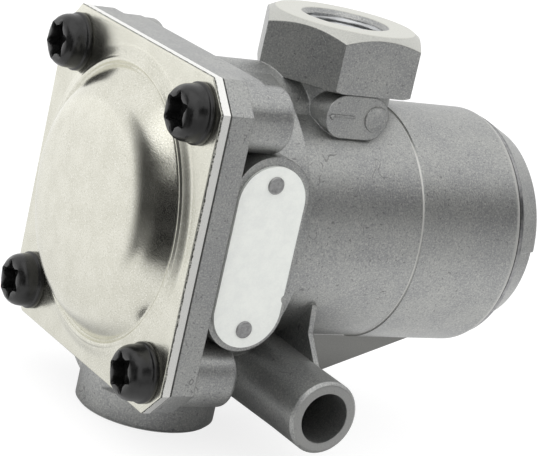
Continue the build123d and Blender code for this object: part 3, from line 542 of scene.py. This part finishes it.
finishes = {
    "cast_aluminium": cast_aluminium(),
    "zinc_plated_steel": zinc_plated_steel(),
    "gasket_fibre": plain_finish(
        "gasket fibre", 0.0, (0.02, 0.02, 0.02), (0.07, 0.07, 0.065), 0.8 * MM, 0.8, 0.2, 0.05 * MM),
    "black_steel": plain_finish(
        "black coated steel", 0.0, (0.006, 0.006, 0.006), (0.014, 0.014, 0.014), 1.2 * MM, 0.24, 0.14,
        0.03 * MM),
    "plate_aluminium": plain_finish(
        "pale anodised sheet", 0.0, (0.80, 0.82, 0.79), (0.86, 0.88, 0.84), 2.5 * MM, 0.42, 0.1, 0.008 * MM),
    "rivet_aluminium": plain_finish(
        "dull rivet aluminium", 0.9, (0.30, 0.30, 0.30), (0.46, 0.46, 0.46), 0.8 * MM, 0.42, 0.15, 0.05 * MM),
    "brass_turned": turned_finish("turned brass", (0.62, 0.43, 0.16), (0.80, 0.60, 0.27), 0.22),
    "black_plastic": plain_finish(
        "moulded black plastic", 0.0, (0.02, 0.02, 0.022), (0.04, 0.04, 0.042), 0.7 * MM, 0.5, 0.15, 0.03 * MM),
    "turned_aluminium": turned_finish("turned aluminium", (0.50, 0.51, 0.52), (0.66, 0.67, 0.68), 0.26),
    "black_rubber": plain_finish(
        "black rubber", 0.0, (0.012, 0.012, 0.012), (0.035, 0.035, 0.035), 0.6 * MM, 0.6, 0.2, 0.03 * MM),
    "spring_steel": plain_finish(
        "oiled spring steel", 1.0, (0.26, 0.26, 0.27), (0.42, 0.42, 0.42), 1.5 * MM, 0.33, 0.15, 0.02 * MM),
    "ground_steel": turned_finish("ground steel", (0.70, 0.71, 0.72), (0.84, 0.85, 0.86), 0.1),
    "white_plastic": plain_finish(
        "white fluoroplastic", 0.0, (0.78, 0.77, 0.72), (0.86, 0.85, 0.81), 1.0 * MM, 0.4, 0.1, 0.02 * MM),
}

for part in frame["record"]["subparts"]:
    solid = frame["nodes"][part["node"]]
    solid.data.materials.clear()
    solid.data.materials.append(finishes[part["material_slot"]])

fit_out(
    surface("cover_pressing", cover_surface(), wrap_u=True),
    finishes["zinc_plated_steel"], "root", ["cover"])

corners = [(y, z) for y in (-screw_pitch / 2, screw_pitch / 2) for z in (-screw_pitch / 2, screw_pitch / 2)]
for index, ((y, z), turn) in enumerate(zip(corners, screw_turns)):
    screw = surface(f"cover_screw_{index + 1}", cover_screw_surface(y, z, turn), wrap_u=True, sharp_angle=50)
    fit_out(screw, finishes["black_steel"], "root", ["cover_screws"])

plate_middle_x = (name_plate_low.x + name_plate_high.x) / 2
for index, side in enumerate((-1, 1)):
    rivet_points = rivet_surface(plate_middle_x, axis_height + side * rivet_reach)
    rivet = surface(f"name_plate_rivet_{index + 1}", rivet_points, wrap_u=True)
    fit_out(rivet, finishes["rivet_aluminium"], "root", ["name_plate_rivets"])


def spring_stretch(name, cad_node, sizes, shares, stands_for=()):
    """A stretch of a spring in spring steel, filling the box of a CAD node from one share of its length to
    another, which hides the CAD nodes that it stands for.
    """
    low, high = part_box(cad_node)
    stretch = surface(name, spring_surface(low, high, *sizes, *shares), wrap_v=True, sharp_angle=60)
    stretch.data.materials.append(finishes["spring_steel"])
    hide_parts(*stands_for)
    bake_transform(stretch)


main_sizes = (main_spring_wire, main_spring_turns)
valve_sizes = (valve_spring_wire, valve_spring_turns)
spring_stretch("main_spring_front", "main_spring", main_sizes, (0, 0.5), ["main_spring"])
spring_stretch("main_spring_back", "main_spring", main_sizes, (0.5, 1))
spring_stretch("valve_spring_coil", "valve_spring", valve_sizes, (0, 1), ["valve_spring"])

# A ring in the gap between the body's end and the cap's foot
gap_start, gap_end = body_end_x, body_end_x + cap_gap
ring_x = np.array([gap_start, gap_start, gap_end, gap_end]) + cap_ring_slack * np.array([1, 1, -1, -1])
ring_radii = np.array([cap_ring_inner, cap_ring_outer, cap_ring_outer, cap_ring_inner])
ring_angle = np.linspace(0, 2 * math.pi, 144, endpoint=False)[:, None]
ring_points = around_x(ring_radii[None, :], ring_x[None, :], ring_angle, 0.0, axis_height)
cap_ring = surface("cap_ring", ring_points, wrap_u=True, wrap_v=True)
cap_ring.data.materials.append(finishes["spring_steel"])
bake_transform(cap_ring)

# Threads: the core's radius, depth, pitch, length, mouth, the two directions across and the one along
port = mounts["inlet_port"]["dims"]["r_mm"] * MM
level = ((1, 0, 0), (0, 1, 0))
inlet_mouth = (inlet_axis_x, 0, inlet_face_z - 1.3 * MM)
threads = {
    "inlet_thread": (port, 0.5 * MM, 1.5 * MM, 12 * MM, inlet_mouth, level, (0, 0, -1)),
    "outlet_thread": (port, 0.5 * MM, 1.5 * MM, 12 * MM, (0, 0, 0.4 * MM), level, (0, 0, 1)),
}
pattern = mounts["mounting_holes"]
for index, side in enumerate((-1, 1)):
    x, y, z = pattern["pos_m"]
    x += side * pattern["dims"]["spacing_x_mm"] * MM / 2
    threads[f"mounting_thread_{index + 1}"] = (
        pattern["dims"]["hole_r_mm"] * MM, 0.3 * MM, 1.25 * MM, 10 * MM, (x, y - 0.5 * MM, z),
        ((1, 0, 0), (0, 0, 1)), (0, -1, 0))
for name, sizes in threads.items():
    lining = surface(name, thread_surface(*sizes), wrap_u=True, wrap_v=True, sharp_angle=30)
    fit_out(lining, finishes["turned_aluminium"], "root")

# Raised marks on the pad beside the inlet: a numeral lying on its side, and a low round disc
stem_start, stem_end, stem_rise = numeral_stem
stroke_x = np.append(numeral_flag[:, 0], np.linspace(stem_start, stem_end, 12))
stroke_rise = np.append(numeral_flag[:, 1], np.full(12, stem_rise))
stroke_path = np.column_stack([stroke_x, np.full_like(stroke_x, pad_y), pad_z + stroke_rise])
stroke = ridge_surface(stroke_path, numeral_width, numeral_height, (0, -1, 0))
fit_out(surface("port_numeral", stroke, wrap_v=True), finishes["cast_aluminium"], "root")

disc_outline = np.array([
    (0, 0.16), (1.5, 0.18), (2.6, 0.26), (3.05, 0.42), (3.25, 0.4), (3.35, 0.1), (3.35, -0.2), (0, -0.2)]) * MM
disc_angle = np.linspace(0, 2 * math.pi, 64, endpoint=False)[:, None]
disc_radii, disc_rise, disc_angle = np.broadcast_arrays(disc_outline[:, 0], disc_outline[:, 1], disc_angle)
disc_across = disc_x + disc_radii * np.cos(disc_angle)
disc_up = pad_z + disc_radii * np.sin(disc_angle)
disc = np.stack([disc_across, pad_y - disc_rise, disc_up], axis=-1)
fit_out(surface("pad_disc", disc, wrap_u=True), finishes["cast_aluminium"], "root")

# Camera, lights and floor
camera_place = Vector((-0.286137, -0.463423, 0.193358))
camera_forward = Vector((0.54038891, 0.8036308, -0.24931379))
camera_roll = math.radians(12.74)
camera = bpy.data.cameras.new("camera")
camera.sensor_fit = "HORIZONTAL"
camera.sensor_width = 36
camera.lens = 150.61
camera.clip_start = 0.05
viewer = bpy.data.objects.new("camera", camera)
bpy.context.scene.collection.objects.link(viewer)
turn = camera_forward.to_track_quat("-Z", "Y").to_matrix().to_4x4() @ Matrix.Rotation(camera_roll, 4, "Z")
viewer.matrix_world = Matrix.Translation(camera_place) @ turn
bpy.context.scene.camera = viewer


def area_light(name, place, target, width, height, power):
    """A soft rectangular lamp that faces its target."""
    lamp = bpy.data.lights.new(name, "AREA")
    lamp.shape = "RECTANGLE"
    lamp.size, lamp.size_y, lamp.energy = width, height, power
    holder = bpy.data.objects.new(name, lamp)
    bpy.context.scene.collection.objects.link(holder)
    way = (Vector(target) - Vector(place)).to_track_quat("-Z", "Y").to_matrix().to_4x4()
    holder.matrix_world = Matrix.Translation(place) @ way
    return holder


def flat_sheet(name, place, facing, width, height):
    """A flat rectangle that faces a point, for the floor and the studio's dark cards."""
    half = np.array([(-width, -height), (width, -height), (width, height), (-width, height)]) / 2
    way = (Vector(facing) - Vector(place)).to_track_quat("Z", "Y").to_matrix()
    points = np.column_stack([half, np.zeros(4)]) @ np.array(way).T + np.array(place)
    mesh = bpy.data.meshes.new(name)
    mesh.from_pydata(points.tolist(), [], [(0, 1, 2, 3)])
    sheet = bpy.data.objects.new(name, mesh)
    bpy.context.scene.collection.objects.link(sheet)
    return sheet


def seen_directly(tree):
    """1 for rays that come from the camera, a reflection or a see-through surface, and 0 for diffuse light."""
    rays = node(tree, "ShaderNodeLightPath").outputs
    seen = maths(tree, "MAXIMUM", rays["Is Camera Ray"], rays["Is Glossy Ray"])
    return maths(tree, "MAXIMUM", seen, rays["Is Transmission Ray"])


def floor_finish():
    """A white floor: part diffuse, so that it keeps the shadow, and part its own light where it is seen. From
    below it is clear, so that the valve's underside can be looked at."""
    material = bpy.data.materials.new("white floor")
    material.use_nodes = True
    tree = material.node_tree
    tree.nodes.clear()
    paint = node(tree, "ShaderNodeBsdfDiffuse", {"Color": (0.36, 0.36, 0.36, 1)})
    strength = maths(tree, "MULTIPLY_ADD", seen_directly(tree), 0.36, 0.4)
    glow = node(tree, "ShaderNodeEmission", {"Strength": strength})
    both = node(tree, "ShaderNodeAddShader", {0: paint.outputs[0], 1: glow.outputs[0]})
    clear = node(tree, "ShaderNodeBsdfTransparent")
    below = node(tree, "ShaderNodeNewGeometry").outputs["Backfacing"]
    sheet = node(tree, "ShaderNodeMixShader", {0: below, 1: both.outputs[0], 2: clear.outputs[0]})
    node(tree, "ShaderNodeOutputMaterial", {"Surface": sheet.outputs[0]})
    return material


def card_finish(name, shade):
    """A card that only reflections see. Shade is its grey, from 0 to 1, or works that out from its place."""
    material = bpy.data.materials.new(name)
    material.use_nodes = True
    tree = material.node_tree
    tree.nodes.clear()
    place = node(tree, "ShaderNodeTexCoord").outputs["Object"]
    x, y, z = node(tree, "ShaderNodeSeparateXYZ", {0: place}).outputs
    strength = shade(tree, x, y, z) if callable(shade) else shade
    paint = node(tree, "ShaderNodeEmission", {"Strength": strength})
    node(tree, "ShaderNodeOutputMaterial", {"Surface": paint.outputs[0]})
    return material


def dim(tree, x, y, z):
    """Dark grey, darker at the top and paler towards the back."""
    base = maths(tree, "MULTIPLY_ADD", step_up(tree, z, 0.06, 0.03), 0.09, 0.05)
    return maths(tree, "MULTIPLY_ADD", step_up(tree, y, -0.02, 0.11), 0.86, base)


def fading_down(tree, x, y, z):
    """Black at the top, and fading to grey towards the floor."""
    return maths(tree, "MULTIPLY", step_up(tree, z, 0.34, 0.02), 0.72)


under_valve = (0.018, 0.005)
dark_patch = (-0.115, -0.115)


def painted_floor_shade(tree, x, y, z):
    """The floor as only reflections see it: a painted shadow under the valve, pale beyond it, dark in a patch
    towards the camera, and grey again far out in front and on the right."""
    across = maths(tree, "MULTIPLY", maths(tree, "SUBTRACT", x, under_valve[0]), 1.5)
    way = distance(tree, across, maths(tree, "SUBTRACT", y, under_valve[1]))
    # painted shadow: the floor is darkest under the valve and pales with distance from it
    near = maths(tree, "MULTIPLY_ADD", step_up(tree, way, 0.035, 0.085), 0.84, 0.06)
    far = maths(tree, "MULTIPLY", step_up(tree, way, 0.08, 0.3), 0.12)
    slant = maths(tree, "MULTIPLY_ADD", maths(tree, "MAXIMUM", maths(tree, "SUBTRACT", x, 0.06), -0.03), 0.8, y)
    front = maths(tree, "SUBTRACT", 1.0, maths(tree, "MULTIPLY", step_up(tree, slant, -0.06, -0.13), 0.46))
    right = maths(tree, "SUBTRACT", 1.0, maths(tree, "MULTIPLY", step_up(tree, x, 0.15, 0.27), 0.4))
    off_patch = [maths(tree, "SUBTRACT", value, middle) for value, middle in zip((x, y), dark_patch)]
    patch = step_up(tree, distance(tree, *off_patch), 0.03, 0.055)
    open_floor = maths(tree, "MINIMUM", maths(tree, "ADD", near, far), patch)
    return maths(tree, "MINIMUM", open_floor, maths(tree, "MINIMUM", front, right))


floor = flat_sheet("floor", (0, 0, -0.3 * MM), (0, 0, 1), 12, 12)
floor.data.materials.append(floor_finish())

# Cards for reflections: shade, place, the point that it faces, width and height
cards = {
    "card_on_the_right": (fading_down, (0.43, -0.59, 0.31), (0.03, 0, 0.31), 1.0, 0.6),
    "card_by_the_camera": (0.0, (-0.145, -0.140, 0.083), (-0.03, -0.03, 0.083), 0.1, 0.166),
    "card_on_the_left": (dim, (-0.14, -0.02, 0.09), (0, -0.02, 0.09), 0.17, 0.18),
    "card_at_the_end": (0.5, (0.45, -0.05, 0.085), (0, -0.05, 0.085), 0.5, 0.17),
    # painted shadow: this card shows the valve's shadow on the floor to reflections
    "card_on_the_floor": (painted_floor_shade, (0.1, -0.2, 0.0002), (0.1, -0.2, 1), 1.4, 1.4),
}
for name, (shade, *sizes) in cards.items():
    card = flat_sheet(name, *sizes)
    card.data.materials.append(card_finish(name.replace("_", " "), shade))
    card.visible_camera = card.visible_diffuse = card.visible_shadow = False

area_light("key", (-0.35, -0.25, 1.0), (0, 0, 0.05), 1.0, 1.0, 1.2)

world = bpy.data.worlds.new("studio")
bpy.context.scene.world = world
world.use_nodes = True
sky = world.node_tree.nodes["Background"]
sky.inputs["Color"].default_value = (1, 1, 1, 1)
sky.inputs["Strength"].default_value = 1.0

bpy.context.scene.view_settings.view_transform = "Standard"
